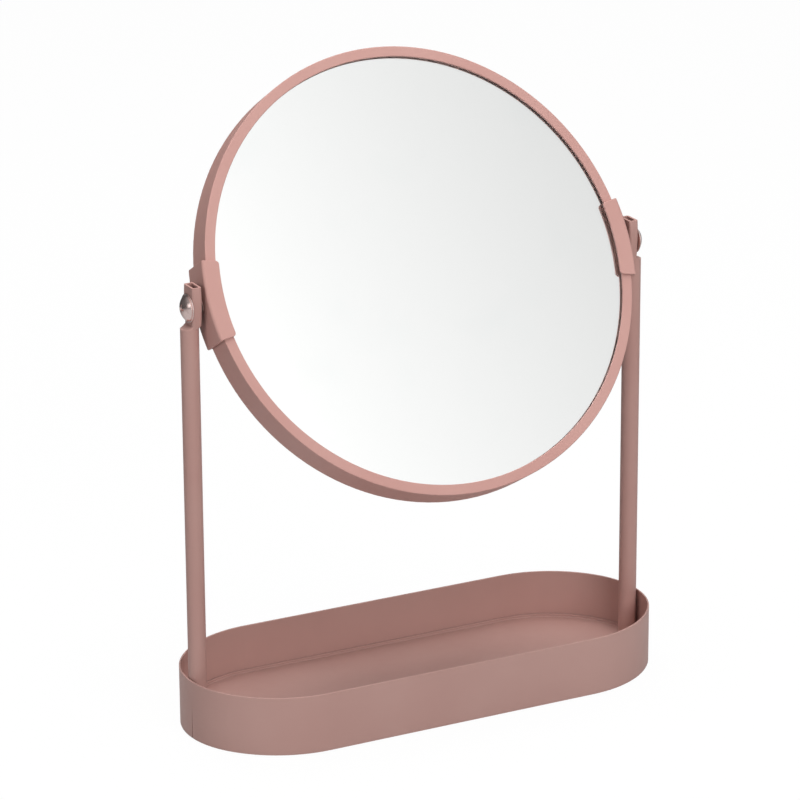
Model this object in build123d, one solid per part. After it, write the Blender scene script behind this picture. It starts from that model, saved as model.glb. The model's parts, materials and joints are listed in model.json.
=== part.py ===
from build123d import *
import os
from math import atan2, degrees, sqrt

# Round double-sided vanity mirror that tilts between two posts standing in an oval tray.
# Millimetres, +Z up, -Y towards the user, origin on the table under the middle of the tray.

# Mirror: a rolled channel holding two glasses back to back
pivot_height = 194.4
rest_lean_angle = 30.5  # how far the mirror leans back from upright at rest
ring_radius = 100.0
ring_depth = 14.8
ring_wall = 0.8
lip_width = 4.65
ring_round = 0.4
ring_inner_round = 0.2
lip_round = 0.3
ring_joint_gap = 0.6
ring_joint_angle = -6.0  # the ring's butt joint lies under the right saddle
glass_edge_gap = 1.6  # radial, between the glasses and the channel's web
front_glass_thickness = 1.6
rear_glass_thickness = 1.8
rear_glass_curve = 1450.0  # radius of the dished magnifying glass
spacer_edge_gap = 0.8
spacer_wall = 1.5
spacer_reach = 6.0

# Saddles clasping the ring at its two pivots
saddle_wall = 1.1  # of its two cheeks, which touch the ring
saddle_web = 2.0  # its thicker back, round the ring's outside
saddle_fit = 0.1  # between the ring's web and the saddle's
saddle_overlap = 1.05  # how far the saddle's cheeks reach in past the ring's lip
saddle_half_angle = 10.0
saddle_round = 1.3
saddle_corner = 1.6
saddle_edge_round = 0.35

# Posts: steel tube with the upper end pressed flat into an ear
ear_gap = 1.5  # from the saddle's web to the ear
ear_thickness = 4.4
ear_width = 9.8
ear_base_width = 8.3
ear_top_width = 9.0
ear_corner = 1.0
ear_bore_corner = 0.3
ear_below_pivot = 8.9
ear_above_pivot = 9.6
ear_inset = 0.05  # how far the ear stands in from the tube's inner side, towards the mirror
press_step = 1.5  # height over which the tube's outer side is pressed in
press_cheek_angle = 80.0  # share of the round tube that is pressed into each flat cheek
press_corner_angle = 22.0  # share that becomes each of the ear's corners
post_radius = 4.0
post_wall = 1.0

# Tray: a bent steel band round a pressed pan
post_gap = 0.35  # between the post and the band's inner side
tray_half_width = 43.6
shoulder_easing = 6.0  # how much wider than a half circle the tray's shoulders are bent
tip_tightening = 4.0  # how much tighter than a half circle its two tips are bent
band_thickness = 0.8
band_height = 26.6
rim_round = 0.3
seam_angle = 6.0  # the band's butt seam, measured round the left tip from -X towards -Y
seam_width = 0.5
seam_depth = 0.5
seam_height = 19.0  # the seam closes up to nothing at this height
floor_rise = 4.4  # from the band's lower edge to the pan's floor
pan_thickness = 0.8
pan_lip = 1.4  # how far the pan's turned-up edge stands above its floor
pan_lip_round = 0.35
pan_bend = 0.5
pan_gap = 0.02

# Pads under the pan
pad_standoff = 0.5  # the pads lift the band's lower edge off the table
pad_radius = 5.0
pad_end_inset = 37.8
pad_side_inset = 16.6
pad_round = 0.5

# Fixing of each post from below
insert_length = 12.0
post_screw_radius = 1.5
post_screw_length = 10.0
post_screw_head_radius = 2.8
post_screw_head_height = 1.5
post_screw_head_round = 0.7
post_washer_radius = 3.4
post_washer_thickness = 0.5
cross_width = 0.9
cross_reach = 1.5
cross_depth = 0.9
cross_floor_share = 0.55  # size of a cross recess's floor against its mouth

# Pivots
bush_radius = 2.6
bush_flange_radius = 4.2
bush_flange_thickness = 0.7
bushing_wall = 0.9
bushing_flange_radius = 3.4
bushing_flange_thickness = 0.8
pivot_screw_radius = 1.5
pivot_screw_tip_gap = 0.25  # how far the tip stops short of the bush's inner end
head_radius = 5.5
head_height = 2.8
head_rim = 0.45
head_washer_radius = 6.3
head_washer_thickness = 0.5
head_washer_round = 0.2
head_cross_width = 1.0
head_cross_reach = 2.3
head_cross_depth = 1.0

# Clearances
running_gap = 0.05  # radial, between a shank and the bore that it turns in
axial_play = 0.05
hole_gap = 0.1  # radial, round a part that is pushed through a sheet

channel_radius = ring_radius - ring_wall
lip_radius = ring_radius - lip_width
half_depth = ring_depth / 2
seat_depth = half_depth - ring_wall  # the glasses' faces, from the ring's middle plane
glass_radius = channel_radius - glass_edge_gap
saddle_seat = ring_radius + saddle_fit
saddle_radius = saddle_seat + saddle_web
ear_inner_x = saddle_radius + ear_gap
ear_outer_x = ear_inner_x + ear_thickness
ear_middle_x = (ear_inner_x + ear_outer_x) / 2
ear_base = pivot_height - ear_below_pivot
post_x = ear_inner_x + post_radius + ear_inset
tray_half_length = post_x + post_radius + post_gap + band_thickness
band_base = pad_standoff
floor_top = band_base + floor_rise
pan_underside = floor_top - pan_thickness
bushing_radius = pivot_screw_radius + running_gap + bushing_wall
head_seat_x = ear_outer_x + axial_play + head_washer_thickness
bush_seat_x = sqrt(channel_radius ** 2 - bush_flange_radius ** 2)
bush_inner_x = bush_seat_x - bush_flange_thickness
lean = Pos(0, 0, pivot_height) * Rot(90 - rest_lean_angle, 0, 0)


def tray_outline(inset):
    """Plan of the tray: straight sides run through wide shoulders into tighter tips."""
    half_length = tray_half_length - inset
    half_width = tray_half_width - inset
    shoulder = half_width + shoulder_easing
    tip = half_width - tip_tightening
    tip_x = half_length - tip
    straight_x = tip_x - sqrt((shoulder - tip) ** 2 - shoulder_easing ** 2)
    turn = degrees(atan2(shoulder_easing, tip_x - straight_x))
    edges = []
    for turned in (0, 180):
        edges += [
            Rot(0, 0, turned) * CenterArc((tip_x, 0), tip, -turn, 2 * turn),
            Rot(0, 0, turned) * CenterArc((straight_x, -shoulder_easing), shoulder, turn, 90 - turn),
            Rot(0, 0, turned) * Line((straight_x, half_width), (-straight_x, half_width)),
            Rot(0, 0, turned) * CenterArc((-straight_x, -shoulder_easing), shoulder, 90, 90 - turn),
        ]
    return make_face(edges)


def ring_solid(outer, inner, height):
    """Plain washer or sleeve standing on its own origin."""
    return extrude(Circle(outer) - Circle(inner), amount=height)


def along_x(x, z=pivot_height):
    """Places a piece whose own +Z should point outwards along +X from x."""
    return Pos(x, 0, z) * Rot(0, 90, 0)


def both_sides(shape):
    """The right-hand piece and its left-hand twin."""
    return {"right": shape, "left": mirror(shape, about=Plane.YZ)}


def cross_recess(width, reach, depth):
    """Cross-shaped driving recess sunk from z = 0, narrowing towards its floor."""
    arm = Rectangle(2 * reach, width) + Rectangle(width, 2 * reach)
    floor = scale(arm, by=cross_floor_share)
    return loft([arm.face(), Pos(0, 0, -depth) * floor.face()])


def tray_wall():
    band = extrude(tray_outline(0) - tray_outline(band_thickness), amount=band_height)
    band = fillet(band.edges().group_by(Axis.Z)[-1], rim_round)
    tip = tray_half_width - tip_tightening
    wedge = Plane.YZ * make_face(Polyline((-seam_width / 2, 0), (seam_width / 2, 0), (0, seam_height), close=True))
    seam = Rot(0, 0, 180 + seam_angle) * Pos(tip - seam_depth, 0, 0) * extrude(wedge, amount=2 * seam_depth)
    return Pos(0, 0, band_base) * (band - Pos(tip - tray_half_length, 0, 0) * seam)


def tray_floor():
    """Shallow pan with a turned-up edge, which is relieved round the feet of the posts."""
    outer_inset = band_thickness + pan_gap
    pan = Pos(0, 0, -pan_thickness) * extrude(tray_outline(outer_inset), amount=pan_thickness + pan_lip)
    pan = fillet(pan.edges().group_by(Axis.Z)[0], pan_bend)
    well = extrude(tray_outline(outer_inset + pan_thickness), amount=2 * pan_lip)
    pan -= fillet(well.edges().group_by(Axis.Z)[0], pan_bend)
    pan = fillet(pan.edges().group_by(Axis.Z)[-1], pan_lip_round)
    hole = Cylinder(post_screw_radius + hole_gap, 4 * pan_thickness)
    relief = Cylinder(post_radius + hole_gap, 2 * pan_lip, align=(Align.CENTER, Align.CENTER, Align.MIN))
    for side in (-1, 1):
        pan -= Pos(side * post_x, 0, 0) * (hole + relief)
    return Pos(0, 0, floor_top) * pan


def foot_pads():
    pad = Cylinder(pad_radius, pan_underside, align=(Align.CENTER, Align.CENTER, Align.MIN))
    pad = fillet(pad.edges().group_by(Axis.Z)[0], pad_round)
    spacing_x = 2 * (tray_half_length - pad_end_inset)
    spacing_y = 2 * (tray_half_width - pad_side_inset)
    return Compound([place * pad for place in GridLocations(spacing_x, spacing_y, 2, 2)])


def tube_section(inset, z):
    """The round tube's outline, cut into the same eight edges as the pressed ear's."""
    edge_angle = 180 - press_cheek_angle - 2 * press_corner_angle
    edges = []
    start = -press_cheek_angle / 2
    for turn in 2 * (press_cheek_angle, press_corner_angle, edge_angle, press_corner_angle):
        edges.append(CenterArc((0, 0), post_radius - inset, start, turn))
        start += turn
    return Pos(0, 0, z) * make_face(edges)


def ear_section(inset, corner, width, z):
    """The pressed ear's outline: two flat cheeks joined by flat edges with rounded corners."""
    cheek = ear_thickness / 2 - inset
    edge = width / 2 - inset
    near = cheek - corner
    side = edge - corner
    edges = []
    for turned in (0, 180):
        edges += [
            Rot(0, 0, turned) * Line((cheek, -side), (cheek, side)),
            Rot(0, 0, turned) * CenterArc((near, side), corner, 0, 90),
            Rot(0, 0, turned) * Line((near, edge), (-near, edge)),
            Rot(0, 0, turned) * CenterArc((-near, side), corner, 90, 90),
        ]
    return Pos(ear_middle_x - post_x, 0, z) * make_face(edges)


def post_form(inset, corner, drop, base, top):
    """Outside or bore of a post: round below, pressed in at the step, a bulging flat ear above."""
    step = ear_base - drop
    foot = ear_section(inset, corner, ear_base_width, step + press_step)
    middle = ear_section(inset, corner, ear_width, pivot_height)
    head = ear_section(inset, corner, ear_top_width, top)
    round_part = extrude(tube_section(inset, base), amount=step - base)
    pressed = loft([tube_section(inset, step), foot], ruled=True)
    return round_part + pressed + loft([foot, middle, head])


def post():
    top = pivot_height + ear_above_pivot
    outside = post_form(0, ear_corner, 0, floor_top, top)
    bore = post_form(post_wall, ear_bore_corner, post_wall, floor_top - post_wall, top + post_wall)
    hole = Cylinder(bushing_radius + running_gap, 4 * ear_thickness)
    pierced = Pos(0, 0, pivot_height) * Rot(0, 90, 0) * hole
    return Pos(post_x, 0, 0) * (outside - bore - pierced)


def post_insert():
    sleeve = ring_solid(post_radius - post_wall, post_screw_radius + running_gap, insert_length)
    return Pos(post_x, 0, floor_top) * sleeve


def pan_head_screw():
    """Screw pointing up +Z, with the underside of its head at z = 0."""
    head = Cylinder(post_screw_head_radius, post_screw_head_height, align=(Align.CENTER, Align.CENTER, Align.MAX))
    head = fillet(head.edges().group_by(Axis.Z)[0], post_screw_head_round)
    recess = Rot(180, 0, 0) * cross_recess(cross_width, cross_reach, cross_depth)
    shank = Cylinder(post_screw_radius, post_screw_length, align=(Align.CENTER, Align.CENTER, Align.MIN))
    return head - Pos(0, 0, -post_screw_head_height) * recess + shank


def post_screws():
    screw = Pos(0, 0, pan_underside - post_washer_thickness) * pan_head_screw()
    return Compound([Pos(side * post_x, 0, 0) * screw for side in (-1, 1)])


def post_washers():
    washer = ring_solid(post_washer_radius, post_screw_radius + hole_gap, post_washer_thickness)
    washer = Pos(0, 0, pan_underside - post_washer_thickness) * washer
    return Compound([Pos(side * post_x, 0, 0) * washer for side in (-1, 1)])


def ring_profile():
    """Section of the channel: an outer web with a lip in front of and behind the glasses."""
    outside = Pos(ring_radius - lip_width / 2, 0) * Rectangle(lip_width, ring_depth)
    outside = fillet(outside.vertices().group_by(Axis.X)[-1], ring_round)
    inner_width = lip_width - ring_wall
    channel = Pos(channel_radius - inner_width / 2, 0) * Rectangle(inner_width, 2 * seat_depth)
    channel = fillet(channel.vertices().group_by(Axis.X)[-1], ring_inner_round)
    profile = outside - channel
    lip_tips = profile.vertices().group_by(Axis.X)[0].sort_by(Axis.Y)
    return Plane.XZ * fillet([lip_tips[0], lip_tips[-1]], lip_round)


def mirror_frame():
    gap = degrees(ring_joint_gap / ring_radius)
    ring = revolve(ring_profile(), Axis.Z, revolution_arc=360 - gap)
    ring = Rot(0, 0, ring_joint_angle + gap / 2) * ring
    for turned in (0, 180):
        ring -= Rot(0, 0, turned) * along_x(lip_radius, 0) * bush_hole()
    return lean * ring


def bush_hole():
    """Hole for the bush, long enough to pierce the ring's web and the saddle's."""
    depth = saddle_radius + saddle_wall - lip_radius
    return Cylinder(bush_radius + hole_gap, depth, align=(Align.CENTER, Align.CENTER, Align.MIN))


def dish(radius):
    """How far the dished glass stands in from its rim, at a radius."""
    return sqrt(rear_glass_curve ** 2 - radius ** 2) - sqrt(rear_glass_curve ** 2 - glass_radius ** 2)


def dish_arc(start, end, z):
    """Arc of the dish between two radii, its rim lying at z."""
    middle = (start + end) / 2
    return ThreePointArc((start, z + dish(start)), (middle, z + dish(middle)), (end, z + dish(end)))


def front_glass():
    top = lean * Pos(0, 0, seat_depth)
    return top * extrude(Circle(glass_radius), amount=-front_glass_thickness)


def rear_glass():
    back = -seat_depth
    inside = back + rear_glass_thickness
    profile = make_face([
        dish_arc(0, glass_radius, back),
        Line((glass_radius, back), (glass_radius, inside)),
        dish_arc(0, glass_radius, inside),
        Line((0, inside + dish(0)), (0, back + dish(0))),
    ])
    return lean * revolve(Plane.XZ * profile, Axis.Z)


def glass_spacer():
    """Hoop of channel section, open inwards, that keeps the two glasses against the lips."""
    outer = glass_radius - spacer_edge_gap
    inner = outer - spacer_reach
    front = seat_depth - front_glass_thickness
    back = rear_glass_thickness - seat_depth
    block = make_face([
        Line((inner, front), (outer, front)),
        Line((outer, front), (outer, back + dish(outer))),
        dish_arc(inner, outer, back),
        Line((inner, back + dish(inner)), (inner, front)),
    ])
    window_low = back + dish(inner) + spacer_wall
    window_high = front - spacer_wall
    window = Rectangle(2 * (spacer_reach - spacer_wall), window_high - window_low)
    profile = block - Pos(inner, (window_low + window_high) / 2) * window
    return lean * revolve(Plane.XZ * profile, Axis.Z)


def saddle():
    """Channel bent round the ring's face, web and back, centred on the pivot."""
    cheek = lip_radius - saddle_overlap
    reach = half_depth + saddle_wall
    points = [
        (cheek, half_depth), (cheek, reach), (saddle_radius, reach), (saddle_radius, -reach),
        (cheek, -reach), (cheek, -half_depth), (saddle_seat, -half_depth), (saddle_seat, half_depth),
    ]
    profile = make_face(Polyline(*points, close=True))
    profile = fillet(profile.vertices().group_by(Axis.X)[-1], saddle_round)
    clasp = revolve(Plane.XZ * profile, Axis.Z, revolution_arc=2 * saddle_half_angle)
    clasp = Rot(0, 0, -saddle_half_angle) * clasp
    across = clasp.edges().filter_by(Axis.Z).sort_by(distance_from_axis)
    clasp = fillet(across[:4], saddle_corner)
    outline = clasp.edges().filter_by(Axis.Z).sort_by(distance_from_axis)[-2:]
    clasp = fillet(outline, saddle_edge_round)
    return clasp - along_x(lip_radius, 0) * bush_hole()


def distance_from_axis(edge):
    return edge.center().X ** 2 + edge.center().Y ** 2


def pivot_bush():
    """Flanged, tapped bush: flange inside the ring, barrel out through ring and saddle."""
    barrel_end = ear_inner_x - bushing_flange_thickness - axial_play
    flange = ring_solid(bush_flange_radius, pivot_screw_radius + running_gap, bush_flange_thickness)
    barrel = ring_solid(bush_radius, pivot_screw_radius + running_gap, barrel_end - bush_seat_x)
    return along_x(bush_inner_x) * flange + along_x(bush_seat_x) * barrel


def ear_bushing():
    """Flanged plastic bushing lining the ear, its flange towards the mirror."""
    bore = pivot_screw_radius + running_gap
    flange = ring_solid(bushing_flange_radius, bore, bushing_flange_thickness)
    sleeve = ring_solid(bushing_radius, bore, ear_thickness)
    return along_x(ear_inner_x - bushing_flange_thickness) * flange + along_x(ear_inner_x) * sleeve


def head_washer():
    washer = ring_solid(head_washer_radius, pivot_screw_radius + hole_gap, head_washer_thickness)
    rims = washer.edges().filter_by(GeomType.CIRCLE).sort_by(SortBy.RADIUS)[-2:]
    return along_x(ear_outer_x + axial_play) * fillet(rims, head_washer_round)


def pivot_screw():
    """Dome-headed screw, head outside the ear and shank in to the bush."""
    dome = make_face([
        Line((0, 0), (head_radius, 0)),
        Line((head_radius, 0), (head_radius, head_rim)),
        RadiusArc((head_radius, head_rim), (0, head_height), -dome_curve()),
        Line((0, head_height), (0, 0)),
    ])
    head = revolve(Plane.XZ * dome, Axis.Z)
    head -= Pos(0, 0, head_height) * cross_recess(head_cross_width, head_cross_reach, head_cross_depth)
    shank_length = head_seat_x - bush_inner_x - pivot_screw_tip_gap
    shank = Cylinder(pivot_screw_radius, shank_length, align=(Align.CENTER, Align.CENTER, Align.MAX))
    return along_x(head_seat_x) * (head + shank)


def dome_curve():
    """Radius of the head's domed top."""
    rise = head_height - head_rim
    return (head_radius ** 2 + rise ** 2) / (2 * rise)


def save(shape, node):
    export_step(shape, f"parts/{node}.step")


def main():
    os.makedirs("parts", exist_ok=True)
    singles = [
        tray_wall, tray_floor, foot_pads, post_screws, post_washers,
        mirror_frame, front_glass, rear_glass, glass_spacer,
    ]
    for make in singles:
        save(make(), make.__name__)
    pairs = {
        "post": post(),
        "post_insert": post_insert(),
        "saddle": lean * saddle(),
        "pivot_bush": pivot_bush(),
        "ear_bushing": ear_bushing(),
        "head_washer": head_washer(),
        "pivot_screw": pivot_screw(),
    }
    for name, shape in pairs.items():
        for side, twin in both_sides(shape).items():
            save(twin, f"{side}_{name}")


main()
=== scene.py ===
import json
import math

import bpy
from mathutils import Matrix, Vector


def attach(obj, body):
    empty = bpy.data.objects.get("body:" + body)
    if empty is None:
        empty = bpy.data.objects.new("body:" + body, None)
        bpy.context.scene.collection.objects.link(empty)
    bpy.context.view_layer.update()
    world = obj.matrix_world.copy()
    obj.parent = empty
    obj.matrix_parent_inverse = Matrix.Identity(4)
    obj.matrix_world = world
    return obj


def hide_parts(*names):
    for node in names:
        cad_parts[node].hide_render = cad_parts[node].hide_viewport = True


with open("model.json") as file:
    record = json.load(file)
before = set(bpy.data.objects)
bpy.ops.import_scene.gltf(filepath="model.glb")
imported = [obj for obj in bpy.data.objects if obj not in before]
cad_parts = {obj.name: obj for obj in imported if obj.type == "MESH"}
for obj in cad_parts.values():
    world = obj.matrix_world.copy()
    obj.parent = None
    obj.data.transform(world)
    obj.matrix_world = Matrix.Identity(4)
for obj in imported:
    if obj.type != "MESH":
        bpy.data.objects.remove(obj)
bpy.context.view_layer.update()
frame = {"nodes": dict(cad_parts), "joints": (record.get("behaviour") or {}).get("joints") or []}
nodes = frame["nodes"]
print("frame loaded:", len(nodes), "CAD nodes")

# camera: a long lens, looking down over the user's left shoulder
view = {
    "aim": (-0.0084, 0.0, 0.1376),
    "turn": 27.1,  # degrees round from straight in front
    "height": 18.9,  # degrees above level
    "distance": 1.728,
    "roll": -0.33,
    "lens": 178.7,
    "sensor": 36.0,
}


def addCamera():
    turn, height, roll = (math.radians(view[key]) for key in ("turn", "height", "roll"))
    level = math.cos(height)
    forward = Vector((math.sin(turn) * level, math.cos(turn) * level, -math.sin(height)))
    right = Vector((math.cos(turn), -math.sin(turn), 0))
    up = right.cross(forward)
    rolledRight = right * math.cos(roll) + up * math.sin(roll)
    rolledUp = up * math.cos(roll) - right * math.sin(roll)
    place = Matrix((rolledRight, rolledUp, -forward)).transposed().to_4x4()
    place.translation = Vector(view["aim"]) - forward * view["distance"]
    data = bpy.data.cameras.new("camera")
    data.lens = view["lens"]
    data.sensor_width = view["sensor"]
    camera = bpy.data.objects.new("camera", data)
    camera.matrix_world = place
    bpy.context.scene.collection.objects.link(camera)
    bpy.context.scene.camera = camera


addCamera()
print("camera placed")


# helpers that keep the materials below short
def newMaterial(name):
    material = bpy.data.materials.new(name)
    material.use_nodes = True
    tree = material.node_tree
    return material, tree, tree.nodes["Principled BSDF"]


def setSocket(tree, socket, value):
    if isinstance(value, bpy.types.NodeSocket):
        tree.links.new(value, socket)
    else:
        socket.default_value = value


def addNode(tree, kind, inputs=None, **settings):
    node = tree.nodes.new("ShaderNode" + kind)
    for key, value in settings.items():
        setattr(node, key, value)
    for key, value in (inputs or {}).items():
        setSocket(tree, node.inputs[key], value)
    return node


def calculate(tree, operation, first, second):
    return addNode(tree, "Math", {0: first, 1: second}, operation=operation).outputs[0]


# place on the piece in metres, stretched for a grain that runs one way
def surfacePlace(tree, stretch=(1, 1, 1), shift=0.0):
    place = addNode(tree, "TexCoord").outputs["Object"]
    inputs = {"Vector": place, "Scale": stretch, "Location": (shift,) * 3}
    return addNode(tree, "Mapping", inputs).outputs["Vector"]


# noise with lumps of the given size in metres
def noise(tree, place, size, detail=2.0):
    inputs = {"Vector": place, "Scale": 1 / size, "Detail": detail}
    return addNode(tree, "TexNoise", inputs).outputs["Fac"]


def remap(tree, value, low, high, toLow=0.0, toHigh=1.0):
    inputs = {"Value": value, "From Min": low, "From Max": high, "To Min": toLow, "To Max": toHigh}
    return addNode(tree, "MapRange", inputs).outputs["Result"]


# noise gathers round 0.5, so only its middle is spread over a range
noiseMiddle = (0.3, 0.7)
noiseCore = (0.35, 0.65)


def varyRoughness(tree, shader, pattern, roughness):
    tree.links.new(remap(tree, pattern, *noiseMiddle, *roughness), shader.inputs["Roughness"])


def mixColours(tree, factor, first, second, blend="MIX"):
    node = addNode(tree, "Mix", data_type="RGBA", blend_type=blend)
    for socket, value in zip((node.inputs[0], node.inputs[6], node.inputs[7]), (factor, first, second)):
        setSocket(tree, socket, value)
    return node.outputs[2]


def bump(tree, height, distance, under=None):
    inputs = {"Height": height, "Distance": distance, "Strength": 1.0}
    if under is not None:
        inputs["Normal"] = under
    return addNode(tree, "Bump", inputs).outputs["Normal"]


# screen colour (0 to 255) to the linear colour that shaders take
def linear(*screen):
    shares = [value / 255 for value in screen]
    return (*(s / 12.92 if s <= 0.04045 else ((s + 0.055) / 1.055) ** 2.4 for s in shares), 1.0)


# dusty pink powder coat
coat = {
    "ring": {"colour": (200, 156, 148), "deeper": (196, 150, 142), "shift": 0.57},
    "post": {"colour": (193, 153, 145), "deeper": (189, 147, 139), "shift": 0.31},
    "tray": {"colour": (195, 156, 148), "deeper": (191, 151, 143), "shift": 0.0},
    "patchSize": 0.05,
    "grainSize": 0.0009,
    "grainHeight": 0.0000015,
    "peelSize": 0.004,
    "peelHeight": 0.000006,
    "roughness": (0.42, 0.48),
    "specular": 0.34,
    "paintedShadeReach": 0.004,  # how far from a corner the painted shade in corners and creases reaches
    "creviceRange": (0.25, 0.75),
    "creviceShade": 0.80,
    "creviceSamples": 8,
}


def powderCoat(name, piece):
    material, tree, shader = newMaterial(name)
    tone = coat[piece]
    place = surfacePlace(tree, shift=tone["shift"])
    patches = remap(tree, noise(tree, place, coat["patchSize"], 3.0), *noiseCore)
    base = mixColours(tree, patches, linear(*tone["deeper"]), linear(*tone["colour"]))
    # painted shade: the coat's colour is darkened in corners, creases and gaps between parts, where shade
    # falls
    reach = {"Distance": coat["paintedShadeReach"]}
    clear = addNode(tree, "AmbientOcclusion", reach, samples=coat["creviceSamples"]).outputs["AO"]
    shade = remap(tree, clear, *coat["creviceRange"], coat["creviceShade"], 1.0)
    grey = addNode(tree, "CombineColor", {"Red": shade, "Green": shade, "Blue": shade}).outputs["Color"]
    tree.links.new(mixColours(tree, 1.0, base, grey, "MULTIPLY"), shader.inputs["Base Color"])
    grain = noise(tree, place, coat["grainSize"])
    peel = noise(tree, place, coat["peelSize"], 1.0)
    peeled = bump(tree, peel, coat["peelHeight"])
    tree.links.new(bump(tree, grain, coat["grainHeight"], peeled), shader.inputs["Normal"])
    varyRoughness(tree, shader, peel, coat["roughness"])
    shader.inputs["Specular IOR Level"].default_value = coat["specular"]
    return material


# mirror glass: clear, with its silver laid just inside the face that stays hidden
glass = {
    "colour": (254, 255, 254),
    "bend": 1.5,
    "roughness": (0.0, 0.004),
    "smearSize": 0.05,
    "smearRange": (0.62, 0.9),
    "dish": 1.45,  # radius in metres of the magnifying glass behind
}
silver = {
    "colour": (254, 254, 254),
    "haze": (251, 252, 252),
    "hazeSize": 0.03,
    "hazeRange": (0.55, 0.9),
    "roughness": 0.0,
    "depth": 0.0001,  # how far inside the glass it lies
    "edgeGap": 0.0002,
}


def clearGlass(name):
    material, tree, shader = newMaterial(name)
    smears = noise(tree, surfacePlace(tree), glass["smearSize"], 4.0)
    smeared = remap(tree, smears, *glass["smearRange"], *glass["roughness"])
    tree.links.new(smeared, shader.inputs["Roughness"])
    shader.inputs["Base Color"].default_value = linear(*glass["colour"])
    shader.inputs["Transmission Weight"].default_value = 1.0
    shader.inputs["IOR"].default_value = glass["bend"]
    return material


def silverCoat(name):
    material, tree, shader = newMaterial(name)
    cloud = noise(tree, surfacePlace(tree), silver["hazeSize"], 4.0)
    haze = remap(tree, cloud, *silver["hazeRange"])
    colour = mixColours(tree, haze, linear(*silver["colour"]), linear(*silver["haze"]))
    tree.links.new(colour, shader.inputs["Base Color"])
    shader.inputs["Roughness"].default_value = silver["roughness"]
    shader.inputs["Metallic"].default_value = 1.0
    return material


# polished nickel of the screw heads and washers; the pink tint in both its colours is painted reflection of
# pinkish surroundings
nickel = {
    "colour": (238, 214, 209),
    "dull": (204, 180, 174),
    "roughness": (0.14, 0.26),
    "dullSize": 0.005,
    "dullRange": (0.5, 0.75),
    "scratchSize": 0.0012,
    "scratchStretch": (1, 1, 9),
    "scratchHeight": 0.000002,
}


def polishedNickel(name):
    material, tree, shader = newMaterial(name)
    dullness = noise(tree, surfacePlace(tree), nickel["dullSize"], 3.0)
    dulled = remap(tree, dullness, *nickel["dullRange"])
    # painted reflection: the nickel's colour carries a pink tint for the pinkish surroundings it reflects
    colour = mixColours(tree, dulled, linear(*nickel["colour"]), linear(*nickel["dull"]))
    tree.links.new(colour, shader.inputs["Base Color"])
    varyRoughness(tree, shader, dullness, nickel["roughness"])
    along = surfacePlace(tree, nickel["scratchStretch"])
    scratches = noise(tree, along, nickel["scratchSize"], 3.0)
    tree.links.new(bump(tree, scratches, nickel["scratchHeight"]), shader.inputs["Normal"])
    shader.inputs["Metallic"].default_value = 1.0
    return material


# zinc plate of the fixings under the tray
zinc = {
    "colour": (182, 184, 188),
    "blue": (160, 168, 182),
    "roughness": (0.28, 0.45),
    "spangleSize": 0.0012,
    "spangleRange": (0.4, 0.6),
}


def zincPlate(name):
    material, tree, shader = newMaterial(name)
    spangle = noise(tree, surfacePlace(tree), zinc["spangleSize"])
    blued = remap(tree, spangle, *zinc["spangleRange"])
    colour = mixColours(tree, blued, linear(*zinc["colour"]), linear(*zinc["blue"]))
    tree.links.new(colour, shader.inputs["Base Color"])
    varyRoughness(tree, shader, spangle, zinc["roughness"])
    shader.inputs["Metallic"].default_value = 1.0
    return material


# moulded pieces, with the texture that each mould leaves
moulded = {
    "bushingNylon": {
        "colour": (30, 29, 29),
        "light": (42, 41, 41),
        "roughness": (0.45, 0.6),
        "size": 0.0008,
        "height": 0.00001,
    },
    "spacerPlastic": {
        "colour": (34, 34, 36),
        "light": (46, 46, 48),
        "roughness": (0.5, 0.65),
        "size": 0.0009,
        "height": 0.00002,
    },
    "padRubber": {
        "colour": (40, 40, 42),
        "light": (58, 57, 58),
        "roughness": (0.7, 0.88),
        "size": 0.0006,
        "height": 0.00005,
    },
}
toneSpread = 12  # how much broader the patches of tone are than the texture


def mouldedPlastic(name):
    mould = moulded[name]
    material, tree, shader = newMaterial(name)
    place = surfacePlace(tree)
    texture = noise(tree, place, mould["size"], 3.0)
    broad = remap(tree, noise(tree, place, mould["size"] * toneSpread), *noiseCore)
    colour = mixColours(tree, broad, linear(*mould["colour"]), linear(*mould["light"]))
    tree.links.new(colour, shader.inputs["Base Color"])
    varyRoughness(tree, shader, texture, mould["roughness"])
    tree.links.new(bump(tree, texture, mould["height"]), shader.inputs["Normal"])
    return material


def paint(material, *names):
    for name in names:
        slots = nodes[name].data.materials
        slots.clear()
        slots.append(material)


mirrorGlass = clearGlass("mirrorGlass")
paint(powderCoat("trayCoat", "tray"), "tray_wall", "tray_floor")
paint(powderCoat("postCoat", "post"), "left_post", "right_post", "left_pivot_bush", "right_pivot_bush")
paint(powderCoat("ringCoat", "ring"), "mirror_frame", "left_saddle", "right_saddle")
paint(mirrorGlass, "front_glass", "rear_glass")
headPieces = ("left_pivot_screw", "right_pivot_screw", "left_head_washer", "right_head_washer")
paint(polishedNickel("headNickel"), *headPieces)
paint(zincPlate("fixingZinc"), "post_screws", "post_washers", "left_post_insert", "right_post_insert")
paint(mouldedPlastic("bushingNylon"), "left_ear_bushing", "right_ear_bushing")
paint(mouldedPlastic("spacerPlastic"), "glass_spacer")
paint(mouldedPlastic("padRubber"), "foot_pads")
print("materials made")


# how finely the silver coats and the magnifying glass are turned
lathe = {
    "sides": 264,
    "rings": 14,
    "sharpAngle": 40,  # degrees between faces from which an edge stays sharp
    "rimShare": 0.999,  # corners beyond this share of the radius are the rim
}
pivot = Vector(frame["joints"][0]["pos_m"])

# the way the front glass faces
flatFace = max(nodes["front_glass"].data.polygons, key=lambda face: face.area)
facing = flatFace.normal.copy() if flatFace.normal.y < 0 else -flatFace.normal


# radius of a packed glass, and where its rim begins and ends along the mirror's axis
def measureGlass(name):
    places = [vertex.co - pivot for vertex in nodes[name].data.vertices]
    depths = [place.dot(facing) for place in places]
    radii = [(place - facing * depth).length for place, depth in zip(places, depths)]
    edge = max(radii)
    rim = [depth for depth, radius in zip(depths, radii) if radius > lathe["rimShare"] * edge]
    return edge, min(rim), max(rim)


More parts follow.
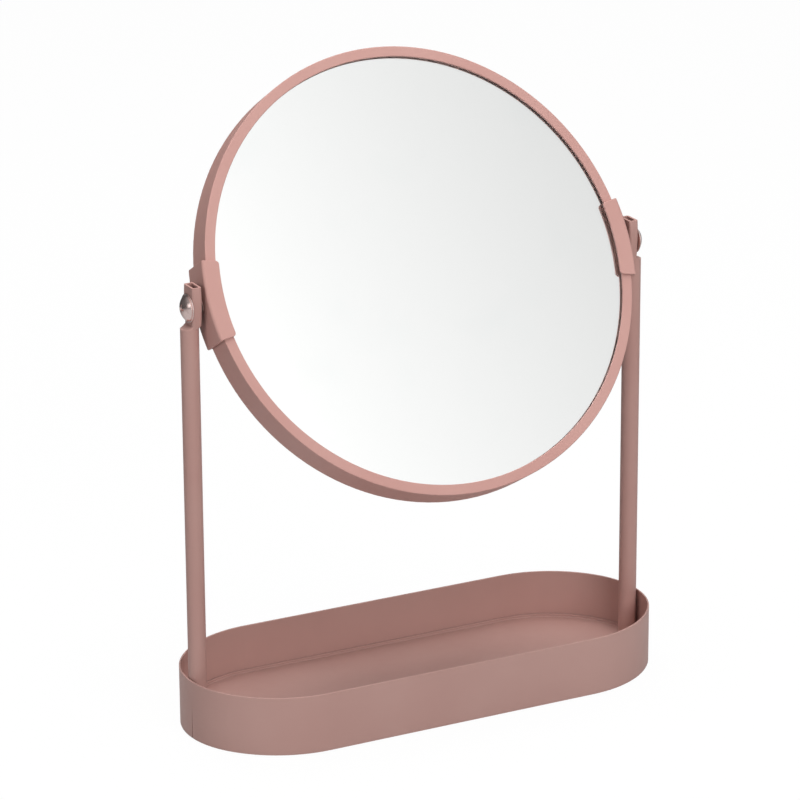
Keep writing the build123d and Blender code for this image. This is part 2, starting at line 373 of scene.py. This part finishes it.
# a face or body turned about the mirror's axis, from pairs of radius and depth
def latheGlass(name, profile, material):
    across = Vector((1, 0, 0))
    upward = facing.cross(across)
    corners, rows, faces = [], [], []
    for radius, depth in profile:
        middle = pivot + facing * depth
        first = len(corners)
        if radius == 0:
            corners.append(middle)
            rows.append([first] * lathe["sides"])
            continue
        for side in range(lathe["sides"]):
            angle = 2 * math.pi * side / lathe["sides"]
            corners.append(middle + across * radius * math.cos(angle) + upward * radius * math.sin(angle))
        rows.append(list(range(first, len(corners))))
    for inner, outer in zip(rows, rows[1:]):
        for side in range(lathe["sides"]):
            onward = (side + 1) % lathe["sides"]
            face = (inner[side], outer[side], outer[onward], inner[onward])
            faces.append(tuple(dict.fromkeys(face)))
    mesh = bpy.data.meshes.new(name)
    mesh.from_pydata(corners, [], faces)
    mesh.polygons.foreach_set("use_smooth", [True] * len(faces))
    mesh.set_sharp_from_angle(angle=math.radians(lathe["sharpAngle"]))
    mesh.materials.append(material)
    piece = bpy.data.objects.new(name, mesh)
    bpy.context.scene.collection.objects.link(piece)
    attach(piece, "mirror")
    return piece


mirrorSilver = silverCoat("mirrorSilver")
frontEdge, frontBack = measureGlass("front_glass")[:2]
rearEdge, rearFace, rearBack = measureGlass("rear_glass")


def ringRadii(edge):
    return [edge * step / lathe["rings"] for step in range(lathe["rings"] + 1)]


# how far the dished glass stands in from its rim at a radius
def dish(radius):
    return math.sqrt(glass["dish"] ** 2 - radius ** 2) - math.sqrt(glass["dish"] ** 2 - rearEdge ** 2)


frontSilver = [(r, frontBack + silver["depth"]) for r in ringRadii(frontEdge - silver["edgeGap"])]
rearDepth = rearBack - silver["depth"]
rearSilver = [(r, rearDepth + dish(r)) for r in ringRadii(rearEdge - silver["edgeGap"])]
latheGlass("front_silver", frontSilver, mirrorSilver)
latheGlass("rear_silver", rearSilver, mirrorSilver)

# the magnifying glass again with an even polish, for its reflections
inside = [(r, rearBack + dish(r)) for r in ringRadii(rearEdge)]
outside = [(r, rearFace + dish(r)) for r in ringRadii(rearEdge)]
lens = latheGlass("rear_glass_polished", inside + outside[::-1], mirrorGlass)
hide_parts("rear_glass")
print("silver laid, magnifying glass polished")

# studio: pale floor, white surroundings, soft lamps mostly from above
studio = {
    "floorSize": 12.0,
    "floorColour": 0.48,
    "floorWhite": 1.0,  # floor colour that the shadow falls on
    "floorGlow": 0.965,  # share of the floor's white that no shadow takes away
    "floorNear": 0.60,  # how bright the floor looks in polished metal
    "floorFar": 0.08,  # and where it falls off behind
    "fallOff": (0.15, 0.7),
    "ambient": 0.10,
    "softBox": (0.44, -0.67, 0.60),  # where the bright end of the studio is
    "softRange": (-0.5, 0.85),
    "dimEnd": 0.12,
    "glassSlope": (0.843, 0.538, -0.021),  # the white seen in the glass darkens this way
    "glassRange": (-0.045, 0.046),
    "glassWhite": (1.03, 0.775),
    "lampAim": (0, 0, 0.12),
    "lamps": {
        "top": {"at": (0, -0.1, 1.7), "size": 1.6, "power": 22.0, "shines": False},
        "front": {"at": (0, -1.6, 0.8), "size": 1.0, "power": 13.8, "shines": False},
        "back": {"at": (0.1, 0.9, 1.5), "size": 1.0, "power": 6.0, "shines": False},
        "left": {"at": (-1.5, -0.2, 0.62), "size": 0.85, "power": 2.6, "shines": False},
        "glint": {"at": (-1.5, -0.16, 0.60), "size": 0.5, "power": 0.95, "shines": True},
    },
}


# true for rays that reach their surface by way of glass or metal
def seenInMirror(tree, rays):
    return calculate(tree, "MAXIMUM", rays["Is Glossy Ray"], rays["Is Transmission Ray"])


def addFloor():
    bpy.ops.mesh.primitive_plane_add(size=studio["floorSize"])
    floor = bpy.context.object
    floor.name = "floor"
    material, tree, shader = newMaterial("floorWhite")
    tree.nodes.remove(shader)
    rays = addNode(tree, "LightPath").outputs
    level, white = studio["floorColour"], studio["floorWhite"]
    lit = addNode(tree, "BsdfDiffuse", {"Color": (level, level, level, 1)}).outputs["BSDF"]
    pale = addNode(tree, "BsdfDiffuse", {"Color": (white, white, white, 1)}).outputs["BSDF"]
    glow = addNode(tree, "Emission", {"Strength": 1.0}).outputs["Emission"]
    depth = addNode(tree, "SeparateXYZ", {0: addNode(tree, "NewGeometry").outputs["Position"]}).outputs["Y"]
    far = remap(tree, depth, *studio["fallOff"], studio["floorNear"], studio["floorFar"])
    reflected = addNode(tree, "Emission", {"Strength": far}).outputs["Emission"]
    inMirror = seenInMirror(tree, rays)
    indirect = addNode(tree, "MixShader", {0: inMirror, 1: lit, 2: reflected}).outputs[0]
    shown = addNode(tree, "MixShader", {0: studio["floorGlow"], 1: pale, 2: glow}).outputs[0]
    surface = addNode(tree, "MixShader", {0: rays["Is Camera Ray"], 1: indirect, 2: shown}).outputs[0]
    tree.links.new(surface, tree.nodes["Material Output"].inputs["Surface"])
    floor.data.materials.append(material)


def addWorld():
    world = bpy.data.worlds.new("studio")
    bpy.context.scene.world = world
    world.use_nodes = True
    tree = world.node_tree
    tree.nodes.clear()
    rays = addNode(tree, "LightPath").outputs
    direction = addNode(tree, "TexCoord").outputs["Generated"]
    slope = addNode(tree, "VectorMath", {0: direction, 1: studio["glassSlope"]}, operation="DOT_PRODUCT")
    shade = remap(tree, slope.outputs["Value"], *studio["glassRange"], *studio["glassWhite"])
    toward = addNode(tree, "VectorMath", {0: direction, 1: studio["softBox"]}, operation="DOT_PRODUCT")
    dim = remap(tree, toward.outputs["Value"], *studio["softRange"], studio["dimEnd"], 1.0)
    shade = calculate(tree, "MULTIPLY", shade, dim)
    ambient = addNode(tree, "Background", {"Color": (1, 1, 1, 1), "Strength": studio["ambient"]}).outputs[0]
    mirrored = addNode(tree, "Background", {"Color": (1, 1, 1, 1), "Strength": shade}).outputs[0]
    white = addNode(tree, "Background", {"Color": (1, 1, 1, 1), "Strength": 1.0}).outputs[0]
    inMirror = seenInMirror(tree, rays)
    indirect = addNode(tree, "MixShader", {0: inMirror, 1: ambient, 2: mirrored}).outputs[0]
    surroundings = addNode(tree, "MixShader", {0: rays["Is Camera Ray"], 1: indirect, 2: white}).outputs[0]
    tree.links.new(surroundings, addNode(tree, "OutputWorld").inputs["Surface"])


def addLamps():
    for name, lamp in studio["lamps"].items():
        data = bpy.data.lights.new(name, "AREA")
        data.shape = "DISK"
        data.size = lamp["size"]
        data.energy = lamp["power"]
        light = bpy.data.objects.new(name, data)
        light.location = lamp["at"]
        beam = Vector(studio["lampAim"]) - light.location
        light.rotation_euler = beam.to_track_quat("-Z", "Y").to_euler()
        light.visible_glossy = lamp["shines"]
        bpy.context.scene.collection.objects.link(light)


addFloor()
addWorld()
addLamps()
bpy.context.scene.view_settings.view_transform = "Standard"
print("studio ready")
